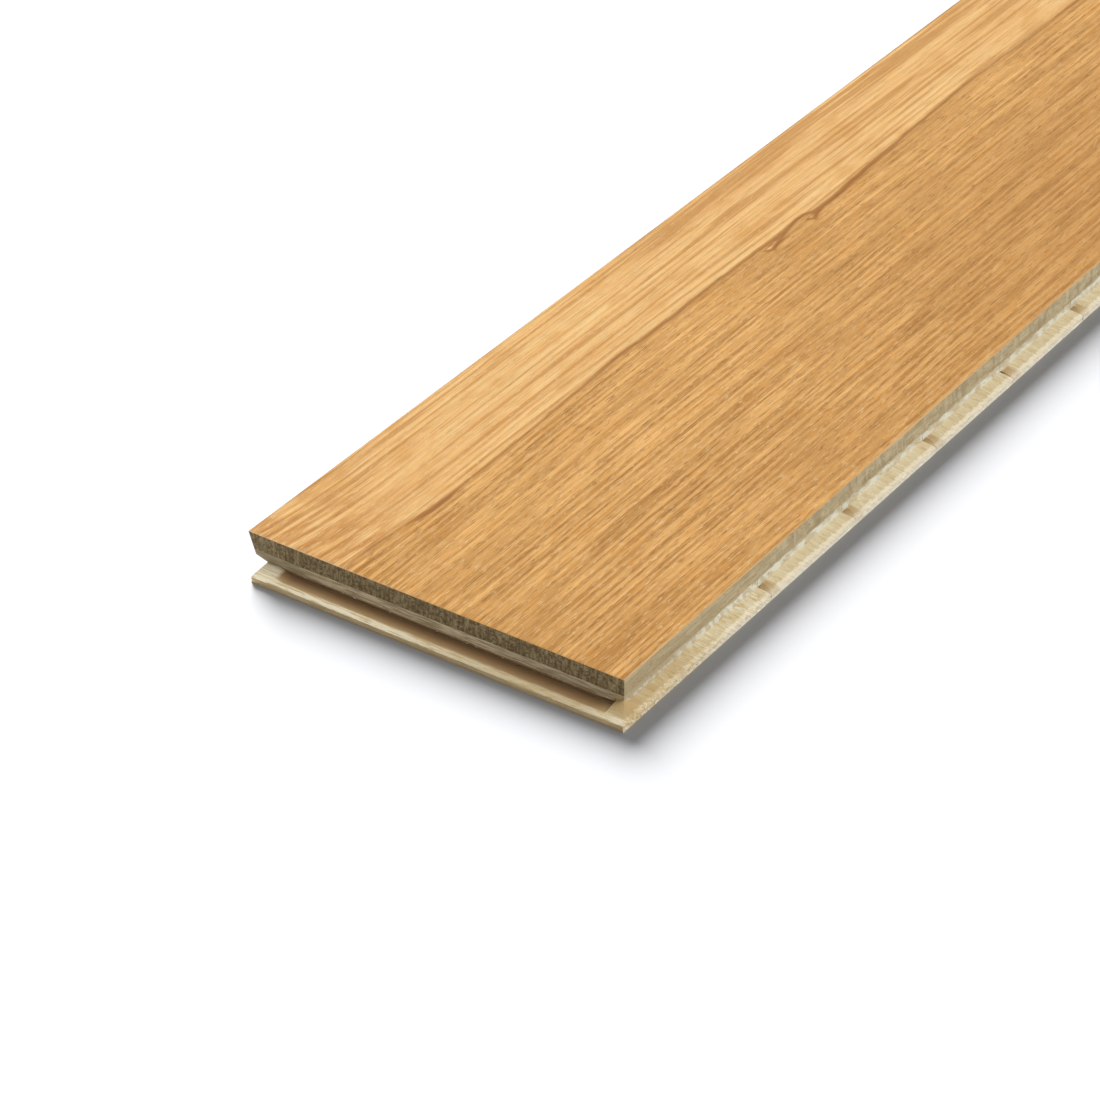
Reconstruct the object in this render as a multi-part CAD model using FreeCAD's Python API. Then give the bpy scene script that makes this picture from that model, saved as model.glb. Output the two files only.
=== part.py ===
import FreeCAD, Part
import os

# Wide plank floorboard: an oak layer glued on softwood strips laid across the board.
# Millimetres. +Y runs along the board, +X to the side with the lip, +Z up.

# Board
FACE_WIDTH = 138.0
FACE_LENGTH = 1200.0
OAK_THICKNESS = 6.0
CORE_THICKNESS = 6.0
ARRIS = 0.3

# Lips that carry the next boards
SHOULDER_DEPTH = 3.2
LIP_EDGE_HEIGHT = 2.2
SIDE_LIP_REACH = 5.2
END_LIP_REACH = 8.2

# Groove in the end lip, between a rim at its edge and the space under the end wall
RIM_WIDTH = 2.1
GROOVE_FLOOR_HEIGHT = 1.2
GROOVE_DEPTH = 4.0
GROOVE_START = 12.0
GROOVE_RUN_IN = 5.0
GROOVE_STOP = 3.0
CUTTER_LIFT = 1.5
CUTTER_LIFT_LENGTH = 6.5

# Overhang on the other long side, upright only just under the face
EDGE_LAND = 2 * ARRIS
OVERHANG_LEAN = 2.6
OVERHANG_EDGE_DEPTH = 7.8
OVERHANG_ROOT_DEPTH = 9.0
OVERHANG_REACH = 6.9

# Clearances of the end joint
TONGUE_SIDE_CLEARANCE = 0.1
TONGUE_END_CLEARANCE = 0.5

# Core strips, laid tight, each with a hollow in the side lip where its front edge is worn
HEAD_STRIP_WIDTH = 75.0
STRIP_PITCH = 50.0
HOLLOW_WIDTHS = (3.2, 3.4, 2.6, 0.8, 3.0)
HOLLOW_DEPTH = 0.9
HOLLOW_STOP = 0.8

# Levels and planes that follow from the sizes above
BOARD_THICKNESS = OAK_THICKNESS + CORE_THICKNESS
SHOULDER_Z = CORE_THICKNESS - SHOULDER_DEPTH
TONGUE_REACH = GROOVE_DEPTH - TONGUE_END_CLEARANCE
BODY_WIDTH = FACE_WIDTH + SIDE_LIP_REACH
BODY_LENGTH = END_LIP_REACH + FACE_LENGTH + TONGUE_REACH
LEFT_X = -BODY_WIDTH / 2
WALL_X = LEFT_X + FACE_WIDTH
RIGHT_X = BODY_WIDTH / 2
FRONT_Y = -BODY_LENGTH / 2
FACE_FRONT_Y = FRONT_Y + END_LIP_REACH
FACE_BACK_Y = FACE_FRONT_Y + FACE_LENGTH
BACK_Y = BODY_LENGTH / 2
SETBACK_Y = FACE_BACK_Y - END_LIP_REACH - TONGUE_END_CLEARANCE
HOOK_Y = FACE_BACK_Y - END_LIP_REACH + RIM_WIDTH + TONGUE_END_CLEARANCE
GROOVE_START_X = LEFT_X + GROOVE_START
GROOVE_END_X = WALL_X - GROOVE_STOP

# How far a cutter runs past the wood
RUN_OUT = 10.0


def block(low, high):
    size = [b - a for a, b in zip(low, high)]
    return Part.makeBox(*size, FreeCAD.Vector(*low))


def prism(corners, sweep):
    face = Part.Face(Part.makePolygon(corners + corners[:1]))
    return face.extrude(sweep)


def along_board(outline):
    corners = [FreeCAD.Vector(x, FRONT_Y - RUN_OUT, z) for x, z in outline]
    return prism(corners, FreeCAD.Vector(0, BODY_LENGTH + 2 * RUN_OUT, 0))


def across_board(outline):
    corners = [FreeCAD.Vector(LEFT_X - RUN_OUT, y, z) for y, z in outline]
    return prism(corners, FreeCAD.Vector(BODY_WIDTH + 2 * RUN_OUT, 0, 0))


def lip_ramp(wall, edge):
    # Waste above a lip: upright at the wall, then falling gently to the lip's edge
    past = edge + (RUN_OUT if edge > wall else -RUN_OUT)
    top = BOARD_THICKNESS
    return [(wall, top), (wall, SHOULDER_Z), (edge, LIP_EDGE_HEIGHT), (past, LIP_EDGE_HEIGHT), (past, top)]


def overhang_waste():
    # Waste outside the leaning side and under the overhang
    return along_board([
        (LEFT_X, BOARD_THICKNESS),
        (LEFT_X, BOARD_THICKNESS - EDGE_LAND),
        (LEFT_X + OVERHANG_LEAN, BOARD_THICKNESS - OVERHANG_EDGE_DEPTH),
        (LEFT_X + OVERHANG_REACH, BOARD_THICKNESS - OVERHANG_ROOT_DEPTH),
        (LEFT_X + OVERHANG_REACH, -RUN_OUT),
        (LEFT_X - RUN_OUT, -RUN_OUT),
        (LEFT_X - RUN_OUT, BOARD_THICKNESS),
    ])


def oak_layer():
    layer = block((LEFT_X, FACE_FRONT_Y, CORE_THICKNESS), (WALL_X, FACE_BACK_Y, BOARD_THICKNESS))
    layer = layer.cut(overhang_waste())
    top_face = max(layer.Faces, key=lambda face: face.CenterOfMass.z)
    return layer.makeChamfer(ARRIS, top_face.Edges)


def end_groove():
    # Stopped groove behind the rim of the front lip, sloping in at its start and running under the end wall
    rim_y = FRONT_Y + RIM_WIDTH
    corners = [
        FreeCAD.Vector(GROOVE_START_X, rim_y, SHOULDER_Z),
        FreeCAD.Vector(GROOVE_START_X + GROOVE_RUN_IN, rim_y, GROOVE_FLOOR_HEIGHT),
        FreeCAD.Vector(GROOVE_END_X, rim_y, GROOVE_FLOOR_HEIGHT),
        FreeCAD.Vector(GROOVE_END_X, rim_y, SHOULDER_Z),
    ]
    return prism(corners, FreeCAD.Vector(0, END_LIP_REACH - RIM_WIDTH + GROOVE_DEPTH, 0))


def groove_lift():
    # Wedge above the groove's end, where the cutter lifts out of the wood
    corners = [
        FreeCAD.Vector(GROOVE_END_X - CUTTER_LIFT_LENGTH, FRONT_Y, SHOULDER_Z),
        FreeCAD.Vector(GROOVE_END_X, FRONT_Y, SHOULDER_Z),
        FreeCAD.Vector(GROOVE_END_X, FRONT_Y, SHOULDER_Z + CUTTER_LIFT),
    ]
    return prism(corners, FreeCAD.Vector(0, END_LIP_REACH + GROOVE_DEPTH, 0))


def end_tongue_waste():
    # Waste over, under and beside the tongue at the back end, and the slot for the next board's rim
    past_y = BACK_Y + RUN_OUT
    left = LEFT_X - RUN_OUT
    right = RIGHT_X + RUN_OUT
    tongue_top = SHOULDER_Z - TONGUE_SIDE_CLEARANCE
    tongue_bottom = GROOVE_FLOOR_HEIGHT + TONGUE_SIDE_CLEARANCE
    lap_bottom = SHOULDER_Z + TONGUE_SIDE_CLEARANCE
    tongue_left = GROOVE_START_X + GROOVE_RUN_IN + TONGUE_END_CLEARANCE
    tongue_right = GROOVE_END_X - TONGUE_END_CLEARANCE
    return [
        block((left, FACE_BACK_Y, tongue_top), (right, past_y, BOARD_THICKNESS)),
        block((left, SETBACK_Y, -RUN_OUT), (right, past_y, tongue_bottom)),
        block((left, SETBACK_Y, -RUN_OUT), (right, HOOK_Y, lap_bottom)),
        block((left, SETBACK_Y, -RUN_OUT), (tongue_left, past_y, lap_bottom)),
        block((tongue_right, SETBACK_Y, -RUN_OUT), (right, past_y, lap_bottom)),
        block((WALL_X, SETBACK_Y, -RUN_OUT), (right, past_y, BOARD_THICKNESS)),
    ]


def strip_joints():
    # Where each strip meets the one before it, and the width of the hollow beside that joint
    pitches = round((FACE_LENGTH - 2 * HEAD_STRIP_WIDTH) / STRIP_PITCH)
    joints = []
    for index in range(pitches + 1):
        width = HOLLOW_WIDTHS[index % len(HOLLOW_WIDTHS)]
        middle = FACE_FRONT_Y + HEAD_STRIP_WIDTH + index * STRIP_PITCH
        joints.append((middle - width / 2, width))
    return joints


def lip_hollow(start, width):
    # Scoop in the side lip: deepest at the joint by the wall, running out to its far side and the lip edge
    radius = (width ** 2 + HOLLOW_DEPTH ** 2) / (2 * HOLLOW_DEPTH)
    deepest = FreeCAD.Vector(WALL_X, start, SHOULDER_Z - HOLLOW_DEPTH)
    far_side = FreeCAD.Vector(WALL_X, start + width, SHOULDER_Z)
    centre = deepest + FreeCAD.Vector(0, 0, radius)
    middle = centre + ((deepest + far_side) / 2 - centre).normalize() * radius
    floor = Part.Arc(deepest, middle, far_side).toShape()
    above = [FreeCAD.Vector(WALL_X, corner.y, CORE_THICKNESS) for corner in (far_side, deepest)]
    sides = Part.makePolygon([far_side] + above + [deepest])
    lip_fall = SHOULDER_Z - LIP_EDGE_HEIGHT
    floor_rise = HOLLOW_DEPTH * SIDE_LIP_REACH / (SIDE_LIP_REACH - HOLLOW_STOP) - lip_fall
    outline = Part.Face(Part.Wire([floor] + sides.Edges))
    return outline.extrude(FreeCAD.Vector(SIDE_LIP_REACH, 0, floor_rise))


def milled_core():
    core = block((LEFT_X, FRONT_Y, 0), (RIGHT_X, BACK_Y, CORE_THICKNESS))
    waste = [
        along_board(lip_ramp(WALL_X, RIGHT_X)),
        across_board(lip_ramp(FACE_FRONT_Y, FRONT_Y)),
        end_groove(),
        groove_lift(),
        overhang_waste(),
    ]
    waste += [lip_hollow(start, width) for start, width in strip_joints()]
    return core.cut(waste + end_tongue_waste())


def core_strips():
    # The milled core parted at the joints between the strips
    core = milled_core()
    joints = [start for start, width in strip_joints()]
    starts = [FRONT_Y] + joints
    ends = joints + [BACK_Y]
    names = ["head_strip_front"]
    names += ["core_strip_%02d" % number for number in range(1, len(joints))]
    names += ["head_strip_back"]
    strips = {}
    for name, start, end in zip(names, starts, ends):
        slab = block((LEFT_X, start, 0), (RIGHT_X, end, CORE_THICKNESS))
        strips[name] = core.common(slab).Solids[0]
    return strips


nodes = {"oak_top_layer": oak_layer()}
nodes.update(core_strips())

os.makedirs("parts", exist_ok=True)
for name, shape in nodes.items():
    shape.exportStep("parts/%s.step" % name)
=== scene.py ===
import math
import bmesh
import bpy
import numpy as np
from mathutils import Matrix, Vector, noise


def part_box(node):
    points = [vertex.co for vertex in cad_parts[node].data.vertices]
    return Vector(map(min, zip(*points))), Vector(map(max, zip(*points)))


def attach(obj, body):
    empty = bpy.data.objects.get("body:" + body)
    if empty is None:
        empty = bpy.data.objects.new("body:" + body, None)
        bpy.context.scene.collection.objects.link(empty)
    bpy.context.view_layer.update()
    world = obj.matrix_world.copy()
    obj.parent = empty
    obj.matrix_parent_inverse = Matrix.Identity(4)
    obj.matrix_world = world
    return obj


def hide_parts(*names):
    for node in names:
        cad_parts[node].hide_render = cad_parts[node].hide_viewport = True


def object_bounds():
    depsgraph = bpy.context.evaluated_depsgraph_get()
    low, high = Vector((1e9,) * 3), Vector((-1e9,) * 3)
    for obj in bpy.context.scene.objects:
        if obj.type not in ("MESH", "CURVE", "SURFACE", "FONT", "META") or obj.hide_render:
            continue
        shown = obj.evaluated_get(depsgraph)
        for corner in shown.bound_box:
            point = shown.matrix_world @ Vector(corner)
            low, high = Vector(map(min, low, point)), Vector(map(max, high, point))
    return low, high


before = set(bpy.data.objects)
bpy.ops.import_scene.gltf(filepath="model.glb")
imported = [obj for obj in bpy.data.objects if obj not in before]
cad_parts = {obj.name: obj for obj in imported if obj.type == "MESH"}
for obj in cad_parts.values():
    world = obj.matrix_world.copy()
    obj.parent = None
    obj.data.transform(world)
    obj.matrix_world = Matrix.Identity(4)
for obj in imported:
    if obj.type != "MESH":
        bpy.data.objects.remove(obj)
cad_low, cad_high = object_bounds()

# Core strips
# Softwood strips laid across the board with their fibres along X, glued side by side under the oak.
# Laid tight, then milled as one with the lips, groove and tongue; the cutter tears the fibres at the edges.
MM = 0.001
oak_low, oak_high = (Vector(corner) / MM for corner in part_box("oak_top_layer"))
board_low, board_high = (Vector(corner) / MM for corner in (cad_low, cad_high))
first_strip_low = Vector(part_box("core_strip_01")[0]) / MM
FACE_LEFT = oak_low.x
FACE_FRONT = oak_low.y
WALL = oak_high.x
LIP_SIDE = board_high.x
LIP_FRONT = board_low.y
FIRST_JOINT = first_strip_low.y
STRIP_PITCH = 50.0
SHOULDER = 2.8
LIP_EDGE = 2.2
RIM_WIDTH = 2.1
RIM_BACK = LIP_FRONT + RIM_WIDTH
RIM_TOP = LIP_EDGE + (SHOULDER - LIP_EDGE) * RIM_WIDTH / (FACE_FRONT - LIP_FRONT)
GROOVE_FLOOR = 1.2
GROOVE_START = FACE_LEFT + 12.0
GROOVE_RUN_IN = 5.0
GROOVE_END = WALL - 3.0
CUTTER_LIFT = 1.5
CUTTER_LIFT_LENGTH = 6.5
MARGIN_WIDTH = 1.4
CORNER_REACH = 5.0
WOOD_SHINE = 0.25
CREAM = (0.62, 0.53, 0.34)
LATEWOOD = (0.51, 0.385, 0.205)
GOLDEN = (0.45, 0.30, 0.09)
WHITE_FIBRE = (0.76, 0.71, 0.55)
CORNER_BROWN_AND_SHADE = (0.45, 0.315, 0.145)
CORNER_TAN = (0.64, 0.49, 0.26)
HOLLOW_BROWN = (0.41, 0.275, 0.13)
SAWN_EDGE = (0.68, 0.58, 0.40)
SAWN_DARK = (0.28, 0.21, 0.112)
SAWN_DARKENED = (0.21, 0.16, 0.09)
RIM_CREAM_HIGHLIGHT = (0.83, 0.74, 0.54)
RIM_TAN = (0.56, 0.46, 0.285)
TIP_LIT_CREAM = (0.88, 0.80, 0.60)
LIP_TAN = (0.72, 0.56, 0.33)
LIP_FOOT_BROWN = (0.50, 0.35, 0.16)
GROOVE_BROWN = (0.42, 0.275, 0.135)
GROOVE_SHADE_DARK = (0.29, 0.17, 0.075)
RECESS_LIGHT_TAN = (0.68, 0.45, 0.24)
END_BRIGHT = (0.75, 0.745, 0.64)
END_DARK = (0.59, 0.515, 0.36)
END_GREY_AND_SHADE = (0.45, 0.38, 0.255)
END_TOP_DARK = (0.43, 0.345, 0.20)
END_OLIVE = (0.43, 0.34, 0.205)
CRUMBLE_WHITE = (0.93, 0.86, 0.69)
CRUMBLE_CREAM = (0.66, 0.54, 0.34)
CRUMBLE_BROWN = (0.50, 0.34, 0.13)


def put(tree, kind, inputs=None, **settings):
    """Adds a node, sets its options, and fills its inputs with values or with other nodes' outputs."""
    made = tree.nodes.new(kind)
    for name, value in settings.items():
        setattr(made, name, value)
    for key, value in (inputs or {}).items():
        if isinstance(value, bpy.types.NodeSocket):
            tree.links.new(value, made.inputs[key])
        else:
            made.inputs[key].default_value = value
    return made


def sums(tree, operation, *values):
    """One step of arithmetic between numbers or sockets."""
    return put(tree, "ShaderNodeMath", dict(enumerate(values)), operation=operation).outputs[0]


def times(tree, *values):
    """All the values multiplied together."""
    product = values[0]
    for value in values[1:]:
        product = sums(tree, "MULTIPLY", product, value)
    return product


def plus(tree, base, *factors):
    """A base value plus the product of the others."""
    return sums(tree, "ADD", base, times(tree, *factors))


def outside(tree, mask):
    """All that a mask leaves out."""
    return sums(tree, "SUBTRACT", 1.0, mask)


def ramp(tree, value, none, full):
    """0 where the value is at none, 1 where it is at full, smooth between."""
    made = put(tree, "ShaderNodeMapRange", {"Value": value, "From Min": none, "From Max": full},
               interpolation_type="SMOOTHSTEP")
    return made.outputs[0]


def tint(tree, under, over, *masks):
    """Lays one colour over another, as strongly as the masks multiplied together."""
    under, over = (colour if isinstance(colour, bpy.types.NodeSocket) else (*colour, 1.0)
                   for colour in (under, over))
    made = put(tree, "ShaderNodeMix", {0: times(tree, *masks), 6: under, 7: over}, data_type="RGBA")
    return made.outputs[2]


def millimetres(tree):
    """Where a point of the wood is in the board, in millimetres."""
    place = put(tree, "ShaderNodeTexCoord").outputs["Object"]
    return put(tree, "ShaderNodeVectorMath", {0: place, 3: 1 / MM}, operation="SCALE").outputs[0]


def apart(tree, place):
    """The three parts of a place or a direction."""
    return put(tree, "ShaderNodeSeparateXYZ", {0: place}).outputs


def joined(tree, x=0.0, y=0.0, z=0.0):
    """A place made from its three parts."""
    return put(tree, "ShaderNodeCombineXYZ", {0: x, 1: y, 2: z}).outputs[0]


def new_material(name, roughness):
    """A material with its node tree and its shader, dull as raw wood is."""
    material = bpy.data.materials.new(name)
    material.use_nodes = True
    shader = material.node_tree.nodes["Principled BSDF"]
    shader.inputs["Roughness"].default_value = roughness
    shader.inputs["Specular IOR Level"].default_value = WOOD_SHINE
    return material, material.node_tree, shader


def dress(tree, shader, colour, height, strength, depth):
    """Gives a shader its colour and a fine relief, with its depth in millimetres."""
    relief = put(tree, "ShaderNodeBump", {"Height": height, "Strength": strength, "Distance": depth * MM})
    tree.links.new(colour, shader.inputs["Base Color"])
    tree.links.new(relief.outputs[0], shader.inputs["Normal"])


def make_wood_streaks():
    """Streaks of noise with cells of a given size, cut between two levels: fibres, rays, pores, clouds."""
    group = bpy.data.node_groups.new("wood streaks", "ShaderNodeTree")
    for label in ("Place", "Cell"):
        group.interface.new_socket(label, in_out="INPUT", socket_type="NodeSocketVector")
    for label in ("Detail", "Low", "High"):
        group.interface.new_socket(label, in_out="INPUT", socket_type="NodeSocketFloat")
    group.interface.new_socket("Mask", in_out="OUTPUT", socket_type="NodeSocketFloat")
    given = group.nodes.new("NodeGroupInput").outputs
    result = group.nodes.new("NodeGroupOutput").inputs
    cells = put(group, "ShaderNodeVectorMath", {0: given["Place"], 1: given["Cell"]}, operation="DIVIDE")
    value = put(group, "ShaderNodeTexNoise", {"Vector": cells.outputs[0], "Scale": 1.0,
                                              "Detail": given["Detail"], "Roughness": 0.55})
    group.links.new(ramp(group, value.outputs[0], given["Low"], given["High"]), result["Mask"])
    return group


wood_streaks = make_wood_streaks()


def streaks(tree, place, cell, low, high, detail=2.0):
    """The wood streaks at a place: cells of a size in millimetres, none below low and full above high."""
    inputs = {"Place": place, "Cell": cell, "Low": low, "High": high, "Detail": detail}
    return put(tree, "ShaderNodeGroup", inputs, node_tree=wood_streaks).outputs["Mask"]


# Sawn edges: each pair is where a darkening or a face begins and where it is full
LEFT_SHADE = (FACE_LEFT + 32, FACE_LEFT + 5)
RIGHT_DARKENING = (WALL - 60, WALL - 15)
END_WALL = (FACE_FRONT - 0.6, FACE_FRONT - 0.3)
WALL_FOOT_SHADE = (SHOULDER + 0.5, SHOULDER - 0.4)
WALL_TEARS = (SHOULDER + 1.2, SHOULDER)
LIP_FACE = (RIM_TOP, RIM_TOP - 0.3)
LIP_FOOT = (0.8, 0.1)


def sawn_wood(tree, place, x, y, z):
    """Sawn edges of the strips: the joints, the end wall with its torn foot and painted shade along its
    lower edge, and the front of the lip.
    """
    edge_fibres = streaks(tree, place, (7, 2, 0.45), 0.42, 0.62)
    sawn = tint(tree, SAWN_EDGE, SAWN_DARK, edge_fibres, 0.75)
    # Painted shade: the band under the oak darker towards the left end, under the overhang
    sawn = tint(tree, sawn, SAWN_DARKENED, ramp(tree, x, *LEFT_SHADE), 0.7)
    # Darker towards the right end as well
    sawn = tint(tree, sawn, SAWN_DARKENED, ramp(tree, x, *RIGHT_DARKENING), 0.3)
    on_wall = ramp(tree, y, *END_WALL)
    # Painted shade in dark brown along the end wall's lower edge, over the slot
    sawn = tint(tree, sawn, GROOVE_SHADE_DARK, ramp(tree, z, *WALL_FOOT_SHADE), on_wall, 0.9)
    torn = streaks(tree, place, (1.6, 2, 0.6), 0.62, 0.68)
    sawn = tint(tree, sawn, CRUMBLE_WHITE, torn, ramp(tree, z, *WALL_TEARS), on_wall, 0.7)
    lip_lines = streaks(tree, place, (9, 0.8, 0.35), 0.45, 0.65)
    front = tint(tree, LIP_TAN, LIP_FOOT_BROWN, lip_lines, 0.75)
    front = tint(tree, front, LIP_FOOT_BROWN, ramp(tree, z, *LIP_FOOT), 0.8)
    return tint(tree, sawn, front, ramp(tree, z, *LIP_FACE), outside(tree, on_wall))


# Front lip: pairs as above, and how far a face that counts as level looks up
LEVEL = (0.3, 0.7)
RIM_ALONG = (RIM_BACK + 1.0, RIM_BACK)
RIM_DARKER_FROM = (WALL - 95, WALL - 30)
RIM_DARKER_TO = (WALL + 6, WALL - 14)
TIP_ACROSS = (FACE_LEFT + 18, FACE_LEFT + 10)
TIP_ALONG = (FACE_FRONT + 1, FACE_FRONT - 1)
GROOVE_FRONT = (RIM_BACK - 0.5, RIM_BACK + 2.2)
GROOVE_BACK = (FACE_FRONT + 6, FACE_FRONT + 5)
GROOVE_BOTTOM = (0.2, 0.6)
GROOVE_TOP = (RIM_TOP + 0.1, RIM_TOP - 0.3)
GROOVE_SHADE = (FACE_FRONT - 4.5, FACE_FRONT - 0.5)
GROOVE_RIGHT = (WALL - 100, WALL - 20)
GROOVE_RECESS = (FACE_FRONT - 0.2, FACE_FRONT + 0.8)
GROOVE_LIFT = (GROOVE_END - 7, GROOVE_END)
STOP_LEFT = (GROOVE_END - 0.5, GROOVE_END)
STOP_RIGHT = (GROOVE_END + 5, GROOVE_END)
STOP_FRONT = (RIM_BACK, RIM_BACK + 2.5)
STOP_BACK = (FACE_FRONT + 3, FACE_FRONT)


def front_lip(tree, wood, place, x, y, z, upward):
    """The wood with the bright rim, the left tip and the brown groove of the front lip laid over it: a
    partly painted highlight on the rim, painted light on the tip, painted shade in the groove.
    """
    level = ramp(tree, upward, *LEVEL)
    # The rim darker towards the right end, easing off again at the corner
    rim_darker = times(tree, ramp(tree, x, *RIM_DARKER_FROM), ramp(tree, x, *RIM_DARKER_TO))
    # The rim's upward faces in pale cream: partly the rim's own pale wood, partly a painted highlight
    rim = tint(tree, RIM_CREAM_HIGHLIGHT, RIM_TAN, rim_darker)
    rim = tint(tree, rim, GOLDEN, streaks(tree, place, (8, 0.6, 0.7), 0.52, 0.61), 0.7)
    wood = tint(tree, wood, rim, ramp(tree, y, *RIM_ALONG), level, 0.8)
    # Painted light: the left tip's upward faces paler, as if lit from the left
    lit_tip = tint(tree, TIP_LIT_CREAM, GOLDEN, streaks(tree, place, (9, 0.7, 0.8), 0.46, 0.60), 0.5)
    wood = tint(tree, wood, lit_tip, ramp(tree, x, *TIP_ACROSS), level, ramp(tree, y, *TIP_ALONG), 0.8)
    # Painted shade in the groove: brown over its wood, darkening towards the end wall that shades it
    groove = tint(tree, GROOVE_BROWN, GROOVE_SHADE_DARK, ramp(tree, y, *GROOVE_SHADE))
    # Darker towards the right end
    groove = tint(tree, groove, GROOVE_SHADE_DARK, ramp(tree, x, *GROOVE_RIGHT), 0.5)
    # Painted light inside the recess under the wall, in a paler tan, so that it does not go black
    groove = tint(tree, groove, RECESS_LIGHT_TAN, ramp(tree, y, *GROOVE_RECESS))
    groove = tint(tree, groove, CORNER_BROWN_AND_SHADE, ramp(tree, x, *GROOVE_LIFT), 0.6)
    frayed = plus(tree, y, streaks(tree, place, (6, 1, 1), 0.3, 0.7), 0.8)
    in_groove = times(tree, ramp(tree, frayed, *GROOVE_FRONT), ramp(tree, y, *GROOVE_BACK),
                      ramp(tree, z, *GROOVE_BOTTOM), ramp(tree, z, *GROOVE_TOP))
    wood = tint(tree, wood, groove, in_groove)
    # Painted shade in brown on the lip past the groove's stop, under the corner of the wall
    shade_past_stop = times(tree, ramp(tree, x, *STOP_LEFT), ramp(tree, x, *STOP_RIGHT),
                      ramp(tree, y, *STOP_FRONT), ramp(tree, y, *STOP_BACK))
    return tint(tree, wood, CORNER_BROWN_AND_SHADE, shade_past_stop, 0.6)


# Fibres cut across: pairs as above
BROAD_BLOCKS = (FIRST_JOINT + 4, FIRST_JOINT + 9)
BRIGHT_LINE_TOP = (SHOULDER + 1.5, SHOULDER + 1.0)
BRIGHT_LINE_FOOT = (SHOULDER + 0.1, SHOULDER + 0.6)
OLIVE_ALONG = (LIP_FRONT + 46, LIP_FRONT + 30)
OLIVE_UP = (4.3, 5.3)
UNDER_OAK = (5.5, 6.3)


def cut_fibres(tree, place, y, z, near_corner, furry):
    """Softwood cut across its fibres: pale blocks parted by darker lines, darker under the oak, and greyer
    with painted shade near the corner.
    """
    upright = joined(tree, y=plus(tree, y, z, 0.6), z=times(tree, z, 0.25))
    narrow = streaks(tree, upright, (1, 2.6, 1), 0.42, 0.56, 0.5)
    broad = streaks(tree, upright, (1, 6.5, 1), 0.38, 0.60, 1.5)
    past_head_strip = ramp(tree, y, *BROAD_BLOCKS)
    blocks = put(tree, "ShaderNodeMix", {0: past_head_strip, 2: narrow, 3: broad}).outputs[0]
    across = tint(tree, END_DARK, END_BRIGHT, blocks)
    across = tint(tree, across, END_DARK, furry, 0.15)
    # Greyer near the front corner: partly the grey of the cut fibres there, partly painted shade darkening
    # towards the corner
    across = tint(tree, across, END_GREY_AND_SHADE, near_corner, 0.85)
    bright_line = times(tree, ramp(tree, z, *BRIGHT_LINE_TOP), ramp(tree, z, *BRIGHT_LINE_FOOT))
    across = tint(tree, across, END_BRIGHT, bright_line, near_corner, narrow, 0.42)
    height = plus(tree, z, streaks(tree, place, (2, 5, 5), 0.3, 0.7), 0.8)
    # Olive brown on the upper part of the cut fibres near the front
    olive_top = times(tree, ramp(tree, y, *OLIVE_ALONG), ramp(tree, height, *OLIVE_UP))
    across = tint(tree, across, END_OLIVE, olive_top, 0.75)
    across = tint(tree, across, GOLDEN, streaks(tree, place, (3, 2.2, 1.5), 0.60, 0.68), 0.6)
    # Darker just under the oak
    return tint(tree, across, END_TOP_DARK, ramp(tree, height, *UNDER_OAK), 0.9)


def crumbled_edge(tree, wood, place, y, z, near_corner, cut_across, hairy):
    """The wood at the outer edge of the side lip: torn fibres, bright crumbs and brown specks."""
    hanging = joined(tree, y=plus(tree, y, z, 1.2), z=z)
    torn_fibres = streaks(tree, hanging, (1, 0.8, 6), 0.45, 0.62)
    bright_crumbs = streaks(tree, place, (1.5, 1.1, 0.9), 0.53, 0.60)
    specks = streaks(tree, place, (2, 1.4, 1.2), 0.54, 0.64)
    crumbs = tint(tree, CRUMBLE_WHITE, CRUMBLE_CREAM, torn_fibres, hairy, 0.65)
    crumbs = tint(tree, crumbs, CORNER_TAN, near_corner, 0.75)
    crumbs = tint(tree, crumbs, CRUMBLE_WHITE, near_corner, bright_crumbs, 0.8)
    edge = tint(tree, wood, crumbs, plus(tree, 0.5, cut_across, 0.45))
    return tint(tree, edge, CRUMBLE_BROWN, specks, hairy, plus(tree, 0.25, near_corner, 0.5))


# The whole strip: pairs as above, and where the first strip's tone starts
TONE_START = FIRST_JOINT - 2.0
HEAD_STRIP = (FIRST_JOINT + 1, FIRST_JOINT)
CORNER_ALONG = (LIP_FRONT + 65, LIP_FRONT + 14)
CORNER_ACROSS = (WALL - 4, WALL + 1)
FOOT_SHADE_AROUND = (CORNER_REACH + 1.0, 1.5)
FOOT_SHADE_TOP = (SHOULDER + 2.4, SHOULDER + 1.0)
MARGIN = (LIP_SIDE - MARGIN_WIDTH, LIP_SIDE - MARGIN_WIDTH + 0.7)
WORN_ACROSS = (LIP_SIDE + 2.0, WALL)


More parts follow.
